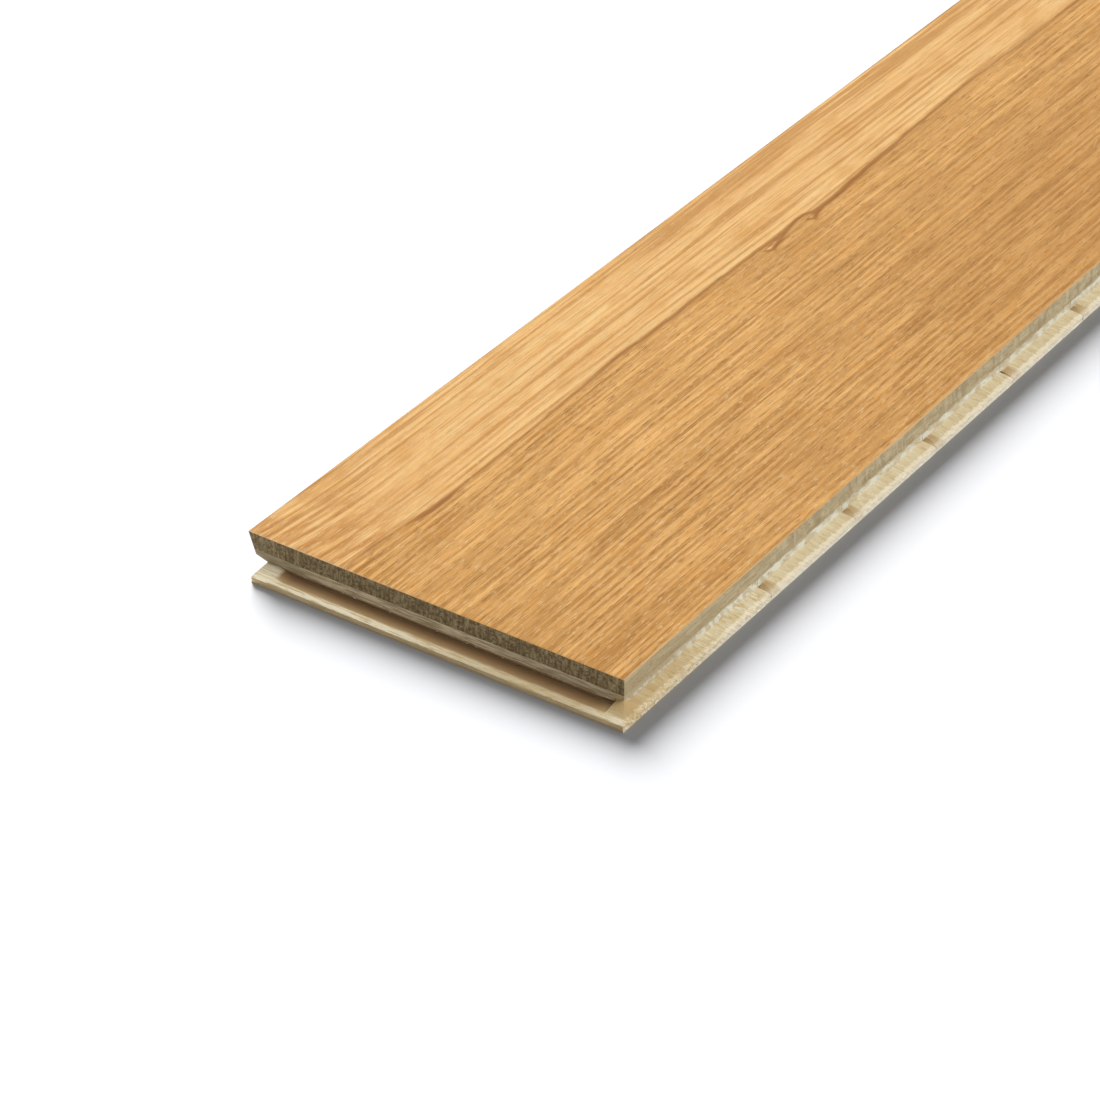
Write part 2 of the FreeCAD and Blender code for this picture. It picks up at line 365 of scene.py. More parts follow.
def make_softwood():
    """Raw softwood: cream along the fibres, whitish and furry where they are cut across."""
    material, tree, shader = new_material("raw softwood", 0.85)
    place = millimetres(tree)
    x, y, z = apart(tree, place)
    facing = apart(tree, put(tree, "ShaderNodeNewGeometry").outputs["Normal"])
    cut_across = ramp(tree, sums(tree, "ABSOLUTE", facing[0]), 0.6, 0.85)
    sawn_edge = ramp(tree, sums(tree, "ABSOLUTE", facing[1]), 0.5, 0.8)
    pitches = sums(tree, "DIVIDE", sums(tree, "SUBTRACT", y, TONE_START), STRIP_PITCH)
    strip = sums(tree, "FLOOR", pitches)
    tone = put(tree, "ShaderNodeTexWhiteNoise", {"W": strip}, noise_dimensions="1D").outputs["Value"]
    hairy = plus(tree, 0.45, ramp(tree, y, *HEAD_STRIP), 0.55)
    near_corner = times(tree, ramp(tree, y, *CORNER_ALONG), ramp(tree, x, *CORNER_ACROSS))

    # Along the fibres, brown near the front corner of the side lip: partly the wood's own brown, partly
    # painted shade darkening towards the corner
    rings = streaks(tree, place, (40, 2.2, 1.3), 0.45, 0.65)
    golden = streaks(tree, place, (3.2, 0.8, 0.8), 0.56, 0.66)
    white = streaks(tree, place, (4.5, 1.0, 0.8), 0.50, 0.66)
    mottle = streaks(tree, place, (20, 6, 4), 0.35, 0.6)
    along = tint(tree, CREAM, LATEWOOD, rings, 0.5)
    along = tint(tree, along, LATEWOOD, tone, 0.25)
    along = tint(tree, along, WHITE_FIBRE, white, hairy, 0.6)
    along = tint(tree, along, GOLDEN, golden, hairy, 0.65)
    along = tint(tree, along, CORNER_BROWN_AND_SHADE, near_corner, plus(tree, 0.6, mottle, 0.35))
    along = tint(tree, along, sawn_wood(tree, place, x, y, z), sawn_edge)
    along = front_lip(tree, along, place, x, y, z, facing[2])

    # Painted shade in brown at the foot of the walls at the front corner
    corner = (WALL, FACE_FRONT, 0)
    plan = joined(tree, x, y)
    from_corner = put(tree, "ShaderNodeVectorMath", {0: plan, 1: corner}, operation="DISTANCE")
    foot_shade = ramp(tree, from_corner.outputs["Value"], *FOOT_SHADE_AROUND)
    along = tint(tree, along, CORNER_BROWN_AND_SHADE, foot_shade, ramp(tree, z, *FOOT_SHADE_TOP), 0.85)

    # Fibres cut across, and the crumbled outer edge of the side lip
    furry = streaks(tree, place, (2, 0.5, 1.2), 0.3, 0.7, 3.0)
    across = cut_fibres(tree, place, y, z, near_corner, furry)
    crumbled = crumbled_edge(tree, along, place, y, z, near_corner, cut_across, hairy)
    frayed = plus(tree, x, streaks(tree, place, (2, 2, 2), 0.3, 0.7), 0.8)
    colour = tint(tree, along, across, cut_across)
    colour = tint(tree, colour, crumbled, ramp(tree, frayed, *MARGIN), outside(tree, sawn_edge))

    # Brown hollows beside the joints, fading to the outer edge of the lip
    worn = put(tree, "ShaderNodeAttribute", attribute_name="worn").outputs["Fac"]
    colour = tint(tree, colour, HOLLOW_BROWN, worn, ramp(tree, x, *WORN_ACROSS))
    height = sums(tree, "ADD", white, sums(tree, "SUBTRACT", times(tree, furry, cut_across), golden))
    dress(tree, shader, colour, height, 0.6, 0.12)
    return material


# Shape of the strips, lengths in millimetres; TOUCH to EXACT say how near a point counts as on an edge
SLICE = 0.7
SLICED_TO = FACE_FRONT + 4.5
CUT_SNAP = 0.0001
TEAR_SIZE = 0.7
TEAR_FALL = 0.8
TEAR_STEP = 2.0
TEAR_OCTAVES = 3
TEAR_LEVEL = 0.5
SIDE_TEAR = 0.25
SIDE_LIFT = 0.0625
FRONT_TEAR = 0.15
FRONT_LIFT = 0.075
RIM_WEAR = 0.3
RIM_WEAR_DEPTH = 0.5
SURFACE_ROUGHNESS = 0.04
FRINGE_SHARE = 0.35
FRINGE_UNEVEN = 0.4
CORNER_RISE = 1.9
COVE_START = 0.3
HAIRLINE = 0.06
HOLLOW_MOST = 5.0
HOLLOW_FADE = 0.4
SEED_STEP = 11.3
OTHER_SEED = 7
SHARP_ANGLE = math.radians(35)
TOUCH = 0.1
CLOSE = 0.05
FLUSH = 0.02
EXACT = 0.01
to_millimetres = Matrix.Scale(1 / MM, 4)


def tear(place, seed):
    """A crumbly offset of about -1 to 1 at a point of the wood."""
    return noise.fractal(place / TEAR_SIZE + Vector((seed, 0, 0)), TEAR_FALL, TEAR_STEP, TEAR_OCTAVES)


def slice_up(shape, axis, places, keep=None):
    """Cuts the faces of a shape at places along an axis; keep picks the faces that are cut."""
    way = Vector((0, 0, 0))
    way[axis] = 1
    for place in places:
        faces = [face for face in shape.faces if keep is None or keep(face.calc_center_median())]
        parts = set(faces)
        for face in faces:
            parts.update(face.edges)
            parts.update(face.verts)
        bmesh.ops.bisect_plane(shape, geom=list(parts), plane_co=way * place, plane_no=way, dist=CUT_SNAP)


def groove_floor(x):
    """How high the groove's floor is at a place across the board: it slopes in at its start."""
    share = max(0.0, min(1.0, (x - GROOVE_START) / GROOVE_RUN_IN))
    return SHOULDER - share * (SHOULDER - GROOVE_FLOOR)


def wall_foot(x):
    """How high the end wall's lower edge is over the groove: the cutter lifts out at the groove's end."""
    share = max(0.0, (x - GROOVE_END + CUTTER_LIFT_LENGTH) / CUTTER_LIFT_LENGTH)
    return SHOULDER + share * CUTTER_LIFT


def coved(place):
    """Where a point of the groove goes when its square front corner is worn to a cove."""
    floor = groove_floor(place.x)
    if place.y > RIM_BACK + CLOSE:
        share = COVE_START + (1 - COVE_START) * (place.y - RIM_BACK) / (FACE_FRONT - RIM_BACK)
        height = place.z + (RIM_TOP - place.z) * (1 - share) ** 2
    else:
        share = COVE_START * (RIM_TOP - place.z) / (RIM_TOP - floor)
        height = floor + (RIM_TOP - floor) * (1 - share) ** 2
    return Vector((place.x, RIM_BACK + share * (FACE_FRONT - RIM_BACK), height))


def hollow_width(shape, low):
    """How wide the hollow beside a strip's front joint is, read from the strip's own points."""
    sunk = [vertex.co.y - low.y for vertex in shape.verts
            if abs(vertex.co.x - WALL) < TOUCH and TOUCH < vertex.co.z < SHOULDER
            and vertex.co.y < low.y + HOLLOW_MOST]
    return max(sunk) if sunk and low.y > LIP_FRONT else 0.0


def worn_share(place, hollow_end):
    """How worn a point of the side lip is: fully in the hollow beside the joint, and less past its end."""
    if place.x < WALL - TOUCH or place.z > SHOULDER - EXACT:
        return 0.0
    return max(0.0, min(1.0, (hollow_end + HOLLOW_FADE / 2 - place.y) / HOLLOW_FADE))


def wear(vertex, low, high, seed):
    """Moves a point of a strip as milling left it: torn edges, worn groove, hanging fringe, open joints."""
    place = vertex.co.copy()
    rough = tear(place, seed)
    other = tear(place, seed + OTHER_SEED)
    torn = max(0, TEAR_LEVEL + rough)
    from_corner = math.hypot(place.x - WALL, place.y - FACE_FRONT)
    on_lip = place.z < SHOULDER + CLOSE
    at_groove = GROOVE_START < place.x < GROOVE_END + TOUCH
    in_groove = at_groove and RIM_BACK - TOUCH < place.y < FACE_FRONT - TOUCH
    over_groove = at_groove and place.x < GROOVE_END - TOUCH and abs(place.y - FACE_FRONT) < TOUCH
    if place.x > LIP_SIDE - TOUCH:
        vertex.co.x -= SIDE_TEAR * torn
        vertex.co.z += SIDE_LIFT * other
    elif on_lip and place.x > LIP_SIDE - MARGIN_WIDTH:
        vertex.co.z += SIDE_LIFT * other
    elif place.y < LIP_FRONT + TOUCH:
        vertex.co.y += FRONT_TEAR * torn
        vertex.co.z += FRONT_LIFT * other - (RIM_WEAR if place.z > LIP_EDGE - RIM_WEAR_DEPTH else 0.0)
    elif in_groove and max(place.z, groove_floor(place.x)) < RIM_TOP - FLUSH:
        vertex.co = coved(place)
    elif over_groove and abs(place.z - wall_foot(place.x)) < CLOSE:
        slot_height = place.z - groove_floor(place.x)
        vertex.co.z -= FRINGE_SHARE * slot_height * (1 + FRINGE_UNEVEN * rough)
    elif on_lip and from_corner < CORNER_REACH and place.x > GROOVE_END - TOUCH:
        vertex.co.z += CORNER_RISE * (1 - from_corner / CORNER_REACH) ** 2
    elif place.z < high.z - TOUCH:
        vertex.co += vertex.normal * SURFACE_ROUGHNESS * rough
    if low.y > LIP_FRONT and place.y < low.y + EXACT:
        vertex.co.y += HAIRLINE * (1 + max(0, rough))
    if place.y > high.y - EXACT:
        vertex.co.y -= HAIRLINE * (1 + max(0, rough))


def rough_strip(name, seed):
    """A copy of one strip, sliced fine and worn, made into a mesh."""
    shape = bmesh.new()
    shape.from_mesh(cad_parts[name].data)
    shape.transform(to_millimetres)
    low, high = (Vector(corner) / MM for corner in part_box(name))
    slice_up(shape, 1, np.arange(low.y + SLICE, high.y, SLICE))
    slice_up(shape, 0, np.arange(WALL + SLICE, LIP_SIDE, SLICE), lambda spot: spot.x > WALL)
    slice_up(shape, 2, np.arange(SLICE, high.z, SLICE))
    if low.y < FACE_FRONT:
        slice_up(shape, 0, np.arange(low.x + SLICE, WALL, SLICE), lambda spot: spot.y < SLICED_TO)
    shape.normal_update()
    worn = shape.verts.layers.float.new("worn")
    hollow_end = low.y + hollow_width(shape, low)
    for vertex in shape.verts:
        if vertex.co.z > TOUCH:
            vertex[worn] = worn_share(vertex.co, hollow_end)
            wear(vertex, low, high, seed)
    shape.transform(to_millimetres.inverted())
    mesh = bpy.data.meshes.new(name + "_milled")
    shape.to_mesh(mesh)
    shape.free()
    mesh.shade_smooth()
    mesh.set_sharp_from_angle(angle=SHARP_ANGLE)
    return mesh


softwood = make_softwood()
strip_names = sorted(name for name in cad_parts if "strip" in name)
for number, name in enumerate(strip_names):
    mesh = rough_strip(name, SEED_STEP * number)
    mesh.materials.append(softwood)
    piece = bpy.data.objects.new(name + "_milled", mesh)
    bpy.context.scene.collection.objects.link(piece)
    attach(piece, "root")
    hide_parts(name)

# Oak layer
# One sawn oak lamella glued over the strips, its face brushed along the grain and oiled.
# Its ends and long sides are left raw from the saw and the cutter.
ARRIS = 0.3
FACE_COLUMNS = 320
FACE_ROWS = 270
WALL_ROWS = 6
RELIEF = 0.14
LINE_PITCH = 2.65
FRONT_BEND = 4.0
EDGE_LINE_WIDTH = 0.5
STREAK_WAVER = 0.25
PALE_DARK = (0.80, 0.39, 0.122)
PALE_BRIGHT = (1.0, 0.70, 0.315)
PALE_THREAD = (0.45, 0.215, 0.058)
PALE_SMUDGE = (0.60, 0.255, 0.068)
HEART_DARK = (0.40, 0.175, 0.039)
HEART_BRIGHT = (1.0, 0.565, 0.197)
HEART_ROSY = (0.72, 0.335, 0.08)
HEART_BROWN = (0.50, 0.235, 0.06)
HEART_DEEP = (0.53, 0.245, 0.064)
PORE_BROWN = (0.34, 0.15, 0.04)
GLINT_CREAM = (1.0, 0.74, 0.40)
RAY_CREAM = (0.84, 0.52, 0.22)
STREAK_BROWN = (0.34, 0.125, 0.026)
MARK_RED = (0.42, 0.17, 0.05)
ARRIS_HIGHLIGHT_CREAM = (0.90, 0.78, 0.57)
ARRIS_SHADE_BROWN = (0.48, 0.33, 0.16)
END_RAY_DARK = (0.18, 0.13, 0.06)
END_RAY_PALE = (0.34, 0.27, 0.15)
END_BAND = (0.16, 0.11, 0.055)
END_PORE = (0.10, 0.062, 0.025)
SIDE_DARK = (0.385, 0.305, 0.175)
SIDE_PALE = (0.49, 0.405, 0.25)
SIDE_CLOUD = (0.335, 0.25, 0.135)
SIDE_PORE = (0.28, 0.19, 0.08)
SIDE_DARK_STROKE = (0.25, 0.185, 0.105)
SIDE_PALE_STROKE = (0.55, 0.48, 0.34)
SIDE_SHADE_NEAR_FRONT = (0.32, 0.245, 0.14)
STREAK_PATH = (
    # from the front end, from the left edge, darkness
    (0, 36.4, 0.3), (15, 36.5, 0.6), (27, 37.6, 0.2), (38, 39.3, 0.9), (50, 39.7, 0.9), (60, 39.1, 0.3),
    (90, 38.8, 0.45), (125, 37.9, 0.65), (144, 36.9, 0.8), (181, 37.7, 0.8), (205, 37.3, 0.55),
    (225, 37.6, 0.6), (250, 38.6, 0.9), (262, 37.4, 0.8), (270, 39.6, 0.9), (281, 40.2, 1.0),
    (306, 38.5, 0.9), (320, 38.2, 0.8), (331, 37.5, 0.7), (375, 36.2, 0.6), (440, 37.0, 0.4),
    (520, 38.4, 0.7), (640, 36.2, 0.3), (760, 38.0, 0.8), (800, 39.2, 0.9), (950, 37.0, 0.4),
    (1100, 38.6, 0.7), (1200, 37.4, 0.5))
STREAK_HOOKS = (((250, 38.6), (235, 42.6)), ((271, 39.8), (264, 42.4)), ((792, 39.0), (775, 42.0)))
EDGE_LINES = (
    # from the left edge, strength
    (3.4, 1.0), (5.0, 1.0), (7.2, 1.0), (9.6, 1.0), (13.6, 0.5), (17.5, 0.6), (22.8, 0.6), (28.4, 0.5))
rng = np.random.default_rng(1150)

# Where the grain changes: each pair is where a change begins and where it is full
BEND_ALONG = (FACE_FRONT + 55, FACE_FRONT)
BEND_ACROSS = (FACE_LEFT + 45, FACE_LEFT + 15)
PALE_SIDE = (FACE_LEFT + 34, FACE_LEFT + 28)
COARSE_SIDE = (FACE_LEFT + 65, FACE_LEFT + 115)


def uneven(x, y, cell):
    """Random values at the corners of cells of a size, joined smoothly between them, about -1 to 1."""
    across, along = x / cell[0], y / cell[1]
    across = across - across.min()
    along = along - along.min()
    column, row = across.astype(int), along.astype(int)
    values = rng.uniform(-1, 1, (column.max() + 2, row.max() + 2))
    step, climb = across - column, along - row
    step = step * step * (3 - 2 * step)
    climb = climb * climb * (3 - 2 * climb)
    near = values[column, row] * (1 - step) + values[column + 1, row] * step
    far = values[column, row + 1] * (1 - step) + values[column + 1, row + 1] * step
    return near * (1 - climb) + far * climb


def share(values, none, full):
    """0 where the values are at none, 1 where they are at full, straight between."""
    return np.clip((values - none) / (full - none), 0, 1)


def face_grain(x, y):
    """The growth lines of the face: their warped place across the board, and how high each point stands."""
    bend = FRONT_BEND * share(y, *BEND_ALONG) ** 2 * share(x, *BEND_ACROSS)
    growth = x + bend + 1.6 * uneven(x, y, (40, 150)) + 0.35 * uneven(x, y, (9, 55))
    turn = growth / LINE_PITCH + 0.45 * uneven(growth, y, (6, 90))
    strength = 0.6 + 0.65 * uneven(growth, y, (LINE_PITCH, 42))
    line = 0.5 * strength * np.cos(2 * math.pi * turn) + 0.6 * uneven(growth, y, (0.9, 36))
    patches = 0.95 + 0.75 * uneven(x, y, (14, 50))
    pale = share(growth, *PALE_SIDE)
    broad = uneven(growth, y, (2.9, 130)) - 1.5 * np.clip(uneven(growth, y, (1.2, 90)) - 0.35, 0, 1)
    line *= patches * (1 - 0.3 * pale) * (1 + 1.2 * share(x, *COARSE_SIDE))
    line += 0.42 * pale * broad
    for place, depth in EDGE_LINES:
        strength = np.clip(0.6 + 1.0 * uneven(x, y, (np.inf, 35)), 0, 1.3)
        line -= depth * strength * np.exp(-((growth - FACE_LEFT - place) / EDGE_LINE_WIDTH) ** 2)
    return growth, np.clip(0.5 + 0.95 * line, 0, 1)


def streak_offset(x, y):
    """How far each point is from the mineral streak, across the board, and how dark the streak is there."""
    path = np.array(STREAK_PATH)
    from_front = y - FACE_FRONT
    waver = STREAK_WAVER * uneven(from_front, y, (6, np.inf))
    offset = x - FACE_LEFT - np.interp(from_front, path[:, 0], path[:, 1]) + waver
    dark = 0.25 + 0.75 * np.interp(from_front, path[:, 0], path[:, 2])
    for (start, start_left), (stop, stop_left) in STREAK_HOOKS:
        along = (from_front - start) / (stop - start)
        hook = x - FACE_LEFT - (start_left + along * (stop_left - start_left))
        nearer = (along > 0) & (along < 1) & (np.abs(hook) < np.abs(offset))
        offset = np.where(nearer, hook, offset)
    return offset, dark


def grid_faces(index):
    """Quads between the rows and columns of a grid of vertex numbers."""
    corners = [index[:-1, :-1], index[:-1, 1:], index[1:, 1:], index[1:, :-1]]
    return np.stack(corners, axis=-1).reshape(-1, 4)


def make_oak_mesh():
    """The lamella as one closed skin: relief on the face, rows down the four walls, a plain underside."""
    width = np.linspace(oak_low.x + ARRIS, oak_high.x - ARRIS, FACE_COLUMNS - 1)
    width = np.concatenate([[oak_low.x], width, [oak_high.x]])
    length = np.linspace(oak_low.y + ARRIS, oak_high.y - ARRIS, FACE_ROWS - 1)
    length = np.concatenate([[oak_low.y], length, [oak_high.y]])
    x, y = np.meshgrid(width, length)
    growth, ridge = face_grain(x, y)
    offset, dark = streak_offset(x, y)
    edge = np.zeros_like(x, dtype=bool)
    edge[[0, -1], :] = True
    edge[:, [0, -1]] = True
    z = np.where(edge, oak_high.z - ARRIS, oak_high.z - RELIEF * (1 - ridge))
    points = [np.stack([x, y, z], axis=-1).reshape(-1, 3)]
    face = np.arange(x.size).reshape(x.shape)
    count = x.size

    # Walls, the left one leaning in as the solid does
    node_points = np.array([vertex.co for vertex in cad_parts["oak_top_layer"].data.vertices]) / MM
    foot_points = node_points[node_points[:, 2] < oak_low.z + EXACT]
    lean = foot_points[:, 0].min() - oak_low.x
    rim = [(0, column) for column in range(FACE_COLUMNS)]
    rim += [(row, FACE_COLUMNS) for row in range(FACE_ROWS)]
    rim += [(FACE_ROWS, column) for column in range(FACE_COLUMNS, 0, -1)]
    rim += [(row, 0) for row in range(FACE_ROWS, 0, -1)]
    rim_rows, rim_columns = np.array(rim).T
    rings = [face[rim_rows, rim_columns]]
    start = points[0][rings[0]]
    for row in range(1, WALL_ROWS + 1):
        down = row / WALL_ROWS
        ring = start.copy()
        ring[:, 2] = (1 - down) * start[:, 2] + down * oak_low.z
        to_left = (oak_high.x - ring[:, 0]) / (oak_high.x - oak_low.x)
        ring[:, 0] += lean * down * to_left
        points.append(ring)
        rings.append(np.arange(count, count + len(ring)))
        count += len(ring)
    wall = np.stack([np.append(ring, ring[0]) for ring in rings])
    top_quads = grid_faces(face)
    wall_quads = grid_faces(wall)[:, ::-1]
    underside = rings[-1][::-1]
    mesh = bpy.data.meshes.new("oak_lamella")
    faces = top_quads.tolist() + wall_quads.tolist() + [underside.tolist()]
    mesh.from_pydata(np.concatenate(points) * MM, [], faces)

    # Grain for the face's material, and the material of each face: 0 face, 1 ends, 2 sides and underside
    for label, values in (("growth", growth), ("ridge", ridge), ("from_streak", offset), ("streak", dark)):
        spread = np.zeros(count, dtype=np.float32)
        spread[:x.size] = values.reshape(-1)
        mesh.attributes.new(label, "FLOAT", "POINT").data.foreach_set("value", spread)
    on_end = (rim_columns < FACE_COLUMNS) & (rim_rows == 0) | (rim_columns > 0) & (rim_rows == FACE_ROWS)
    slots = np.zeros(len(faces), dtype=np.int32)
    slots[len(top_quads):-1] = np.tile(np.where(on_end, 1, 2), WALL_ROWS)
    slots[-1] = 2
    mesh.polygons.foreach_set("material_index", slots)
    mesh.validate()
    mesh.shade_smooth()
    mesh.set_sharp_from_angle(angle=SHARP_ANGLE)
    return mesh


# Colour of the face: pairs as above, and the reddish mark's place, width and length
HEART = (-2.5, 1.5)
DARK_RIGHT = (FACE_LEFT + 45, FACE_LEFT + 140)
DEEP_ALONG = (FACE_FRONT + 150, FACE_FRONT + 330)
DEEP_ACROSS = (FACE_LEFT + 45, FACE_LEFT + 100)
SMUDGED_FRONT = (FACE_FRONT + 55, FACE_FRONT + 10)
STREAK_SHADE_LEFT = (-0.6, 0.4)
STREAK_SHADE_RIGHT = (3.2, 0.6)
FRONT_ARRIS = (FACE_FRONT + 0.45, FACE_FRONT + 0.2)
ARRIS_LEFT = (WALL - 50, FACE_LEFT + 15)
SIDE_ARRIS = (WALL - 0.5, WALL - 0.2)
MARK_MIDDLE = FACE_FRONT + 42.0
MARK_WIDTH = 1.6
MARK_LENGTH = 10.0


def streaked(tree, wood, y, offset, dark, fine):
    """The wood with its mineral streak, a soft shade on its right, and a reddish mark near the front."""
    distance = sums(tree, "ABSOLUTE", offset)
    reach = plus(tree, 0.3, dark, dark, 1.5)
    thread = times(tree, ramp(tree, sums(tree, "DIVIDE", distance, reach), 1.0, 0.2), dark)
    shade = times(tree, ramp(tree, offset, *STREAK_SHADE_LEFT), ramp(tree, offset, *STREAK_SHADE_RIGHT))
    wood = tint(tree, wood, HEART_DARK, shade, dark, 0.4)
    wood = tint(tree, wood, STREAK_BROWN, thread, 0.8)
    mark_across = times(tree, distance, 1 / MARK_WIDTH)
    from_mark = sums(tree, "DIVIDE", sums(tree, "SUBTRACT", y, MARK_MIDDLE), MARK_LENGTH)
    mark_along = sums(tree, "ABSOLUTE", from_mark)
    frayed = plus(tree, sums(tree, "MAXIMUM", mark_across, mark_along), fine, 0.3)
    return tint(tree, wood, MARK_RED, ramp(tree, frayed, 1.1, 0.5), 0.7)


def make_oak_face():
    """Oiled oak: warm tan, paler along one side, with brushed grain, open pores and a mineral streak."""
    material, tree, shader = new_material("oiled oak face", 0.5)
    x, y = apart(tree, millimetres(tree))[:2]
    growth, ridge, offset, dark = (put(tree, "ShaderNodeAttribute", attribute_name=label).outputs["Fac"]
                                   for label in ("growth", "ridge", "from_streak", "streak"))
    grain = joined(tree, growth, y)
    fine = streaks(tree, grain, (0.5, 26, 1), 0.36, 0.66, 3.0)
    heart = ramp(tree, offset, *HEART)
    pale_side = outside(tree, heart)

    # Growth lines, with clouds and mottling
    line = plus(tree, times(tree, ridge, 0.62), fine, 0.38)
    pale = tint(tree, PALE_DARK, PALE_BRIGHT, line)
    tan = tint(tree, HEART_DARK, HEART_BRIGHT, line)
    colour = tint(tree, pale, tan, heart)
    colour = tint(tree, colour, HEART_DARK, ramp(tree, x, *DARK_RIGHT), heart, 0.25)
    colour = tint(tree, colour, HEART_BRIGHT, streaks(tree, grain, (20, 80, 1), 0.3, 0.7), 0.15)
    colour = tint(tree, colour, HEART_BRIGHT, streaks(tree, grain, (5, 13, 1), 0.42, 0.66), 0.22)
    colour = tint(tree, colour, HEART_ROSY, streaks(tree, grain, (8, 24, 1), 0.5, 0.7), 0.4)
    colour = tint(tree, colour, HEART_BROWN, streaks(tree, grain, (13, 55, 1), 0.46, 0.66), heart, 0.28)

    # Deeper and calmer further along the board, towards its right side
    further = ramp(tree, y, *DEEP_ALONG)
    colour = tint(tree, colour, HEART_DEEP, further, ramp(tree, x, *DEEP_ACROSS), 0.4)

    # Reddish smudges of the pale side near the front end, and dark threads along it
    smudges = streaks(tree, grain, (1.9, 14, 1), 0.40, 0.62, 3.0)
    colour = tint(tree, colour, PALE_SMUDGE, ramp(tree, y, *SMUDGED_FRONT), pale_side, smudges, 0.7)
    threads = streaks(tree, grain, (0.5, 38, 1), 0.56, 0.65)
    threads = sums(tree, "MAXIMUM", threads, ramp(tree, ridge, 0.3, 0.0))
    colour = tint(tree, colour, PALE_THREAD, threads, pale_side, 0.42)

    # Open pores, bright dashes along the grain that are partly pale fibres and partly painted glints of the
    # brushed face, and pale rays that cross the grain at a slant
    pores = streaks(tree, grain, (0.42, 6.5, 1), 0.58, 0.66)
    glints = streaks(tree, grain, (0.36, 4.3, 1), 0.60, 0.67)
    slanting = joined(tree, plus(tree, growth, y, 0.22), y)
    rays = streaks(tree, slanting, (2.4, 17, 1), 0.66, 0.74, 1.0)
    colour = tint(tree, colour, PORE_BROWN, pores, plus(tree, 0.15, heart, 0.5))
    colour = tint(tree, colour, GLINT_CREAM, glints, plus(tree, 0.58, further, -0.35))
    colour = tint(tree, colour, RAY_CREAM, rays, heart, 0.35)
    colour = streaked(tree, colour, y, offset, dark, fine)

    # Arrises: a painted highlight along the front end, strongest on the left, and painted shade in brown
    # along the right side
    front_arris_highlight = times(tree, ramp(tree, y, *FRONT_ARRIS), ramp(tree, x, *ARRIS_LEFT))
    colour = tint(tree, colour, ARRIS_HIGHLIGHT_CREAM, front_arris_highlight, 0.2)
    colour = tint(tree, colour, ARRIS_SHADE_BROWN, ramp(tree, x, *SIDE_ARRIS), 0.7)
    height = sums(tree, "ADD", fine, sums(tree, "SUBTRACT", glints, pores))
    dress(tree, shader, colour, height, 0.8, 0.05)
    return material


def make_oak_end():
    """Sawn end grain of the oak: dark, with open pores and upright rays."""
    material, tree, shader = new_material("oak end grain", 0.8)
    place = millimetres(tree)
    rays = streaks(tree, place, (0.7, 9, 4), 0.36, 0.64, 3.0)
    bands = streaks(tree, place, (1.9, 9, 2.4), 0.42, 0.62)
    pores = streaks(tree, place, (0.9, 9, 0.9), 0.47, 0.60, 3.0)
    colour = tint(tree, END_RAY_DARK, END_RAY_PALE, rays)
    colour = tint(tree, colour, END_BAND, bands, 0.4)
    colour = tint(tree, colour, END_PORE, pores, 0.75)
    dress(tree, shader, colour, rays, 0.5, 0.15)
    return material


# Colour of the sides: pairs as above
STROKES_ALONG = (FACE_FRONT + 60, FACE_FRONT + 95)
SIDE_SHADE_ALONG = (FACE_FRONT + 75, FACE_FRONT + 15)


def make_oak_side():
    """Raw sawn oak on the sides and underneath: grey beige, with long faint grain and short brown pores."""
    material, tree, shader = new_material("sawn oak side", 0.8)
    x, y, z = apart(tree, millimetres(tree))
    leaning = joined(tree, x, plus(tree, y, z, 0.5), z)
    lines = streaks(tree, leaning, (9, 16, 1.1), 0.36, 0.66, 3.0)
    clouds = streaks(tree, leaning, (20, 11, 3), 0.45, 0.65)
    pores = streaks(tree, leaning, (9, 1.9, 0.6), 0.57, 0.66)
    colour = tint(tree, SIDE_DARK, SIDE_PALE, lines)
    colour = tint(tree, colour, SIDE_CLOUD, clouds, 0.45)
    colour = tint(tree, colour, SIDE_PORE, pores, 0.65)

    # Upright strokes where the saw tore the grain, beyond the head strip
    upright = joined(tree, x, plus(tree, y, z, 0.2), z)
    beyond = ramp(tree, y, *STROKES_ALONG)
    dark_strokes = streaks(tree, upright, (20, 3.6, 9), 0.48, 0.68)
    pale_strokes = streaks(tree, upright, (20, 2.4, 12), 0.54, 0.68)
    colour = tint(tree, colour, SIDE_DARK_STROKE, dark_strokes, beyond, 0.5)
    colour = tint(tree, colour, SIDE_PALE_STROKE, pale_strokes, beyond, 0.4)
    # Painted shade: the side darker towards the front corner
    colour = tint(tree, colour, SIDE_SHADE_NEAR_FRONT, ramp(tree, y, *SIDE_SHADE_ALONG), 0.3)
    dress(tree, shader, colour, lines, 0.3, 0.15)
    return material


oak_mesh = make_oak_mesh()
for material in (make_oak_face(), make_oak_end(), make_oak_side()):
    oak_mesh.materials.append(material)
oak_layer = bpy.data.objects.new("oak_lamella", oak_mesh)
bpy.context.scene.collection.objects.link(oak_layer)
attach(oak_layer, "root")
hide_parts("oak_top_layer")

# Floor
# A plain white studio floor under the board, one large smooth sheet.
# Its lamp shows it white to the camera, and it throws a soft light back on the wood.
FLOOR_REACH = 30.0
FLOOR_SEEN = (0.475, 0.48, 0.492, 1.0)
FLOOR_BOUNCE = (0.553, 0.553, 0.553, 1.0)


def make_floor_white():
    """A dull floor with one colour for the camera and another for the light that it throws back."""
    material = bpy.data.materials.new("studio floor")
    material.use_nodes = True
    tree = material.node_tree
    tree.nodes.remove(tree.nodes["Principled BSDF"])
    seen = put(tree, "ShaderNodeBsdfDiffuse", {"Color": FLOOR_SEEN})
    unseen = put(tree, "ShaderNodeBsdfDiffuse", {"Color": FLOOR_BOUNCE})
    sight = put(tree, "ShaderNodeLightPath").outputs["Is Camera Ray"]
    mixed = put(tree, "ShaderNodeMixShader", {0: sight, 1: unseen.outputs[0], 2: seen.outputs[0]})
    tree.links.new(mixed.outputs[0], tree.nodes["Material Output"].inputs["Surface"])
    return material


